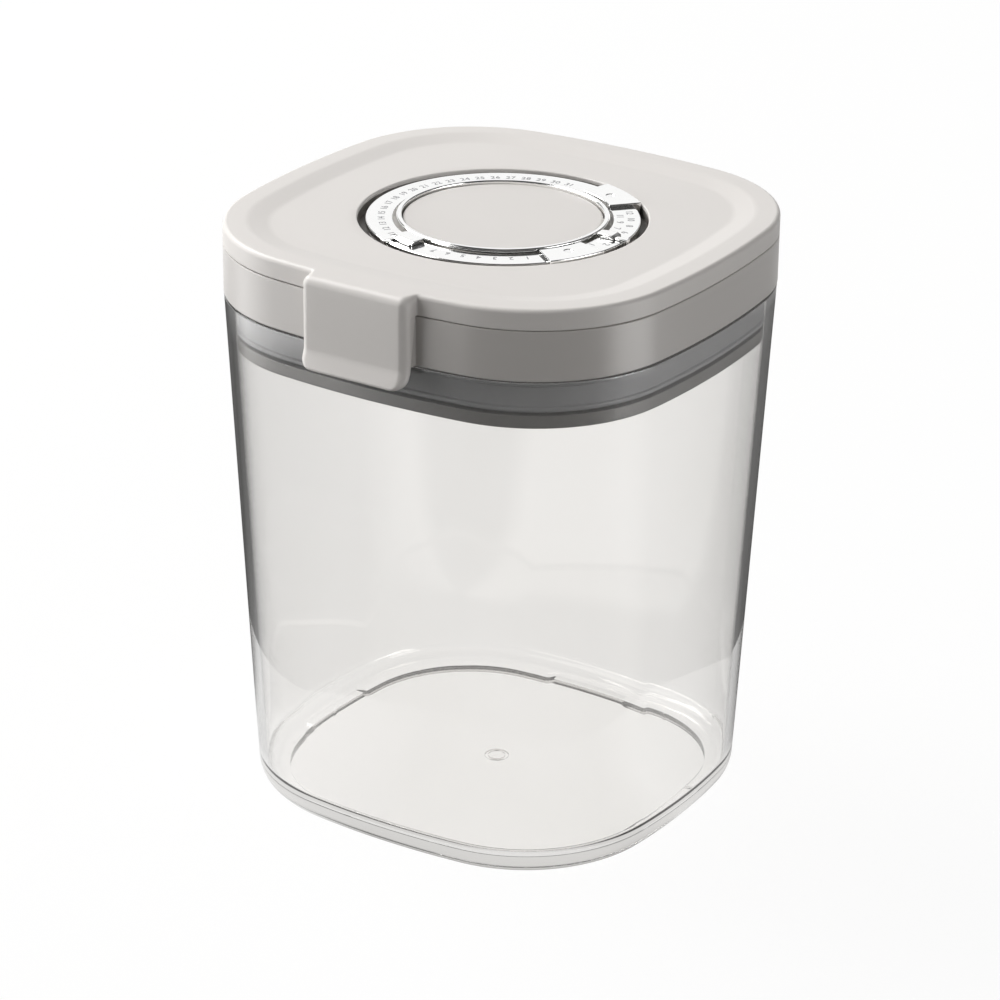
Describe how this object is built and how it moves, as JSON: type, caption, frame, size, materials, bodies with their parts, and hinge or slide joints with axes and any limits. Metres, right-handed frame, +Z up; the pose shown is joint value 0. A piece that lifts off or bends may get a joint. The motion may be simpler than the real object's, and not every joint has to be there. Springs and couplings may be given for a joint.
{
  "type": "vacuum seal canister",
  "caption": "Clear tapered food canister with a press-pump vacuum lid, a front lift tab and a dial with sliding date markers round the pump button.",
  "frame": {"origin": "centre of the jar's foot, on the plane that it stands on, where the jar's own axis meets it", "axes": "+Z up, +X to the right seen from the front, with the lid's tab at the front towards -Y"},
  "size_m": [0.124, 0.1273, 0.1536],
  "materials": {
    "clear_jar": "clear moulded, polished",
    "ring_plastic": "satin moulded, darker warm grey",
    "cover_plastic": "fine matt moulded, light warm grey",
    "gasket_silicone": "smooth cool grey silicone",
    "chrome_plating": "bright plated plastic",
    "pump_plastic": "natural white moulded",
    "seal_rubber": "translucent white silicone",
    "bright_steel": "bright stainless",
    "filter_felt": "pressed white fibre disc"
  },
  "bodies": {
    "jar": {"jar": "clear_jar"},
    "lid": {"lid_ring": "ring_plastic", "lid_gasket": "gasket_silicone", "top_cover": "cover_plastic", "dial_plate": "chrome_plating", "bezel_ring": "chrome_plating", "pump_cylinder": "pump_plastic", "cylinder_seal": "seal_rubber", "cylinder_screws": "bright_steel", "intake_valve": "seal_rubber", "intake_cap": "ring_plastic", "intake_filter": "filter_felt", "return_spring": "bright_steel"},
    "button": {"pump_button": "cover_plastic", "piston_head": "pump_plastic", "piston_seal": "seal_rubber", "piston_washer": "bright_steel", "piston_screw": "bright_steel", "exhaust_valve": "seal_rubber"},
    "day_marker": {"day_marker": "chrome_plating"},
    "month_marker": {"month_marker": "chrome_plating"}
  },
  "joints": [
    {"name": "lid_lift", "type": "slide", "parent": "jar", "child": "lid", "axis": [0, 0, 1], "range_m": [0, 0.05]},
    {"name": "button_press", "type": "slide", "parent": "lid", "child": "button", "axis": [0, 0, -1], "range_m": [0, 0.0065], "stiffness_N_per_m": 900, "springref_m": -0.006, "deforming": ["return_spring"]},
    {"name": "day_marker_turn", "type": "hinge", "parent": "lid", "child": "day_marker", "pos_m": [0, 0, 0.1523], "axis": [0, 0, 1], "range_deg": [-168.5, 62.3]},
    {"name": "month_marker_turn", "type": "hinge", "parent": "lid", "child": "month_marker", "pos_m": [0, 0, 0.1523], "axis": [0, 0, 1], "range_deg": [-14.5, 40.1]}
  ]
}
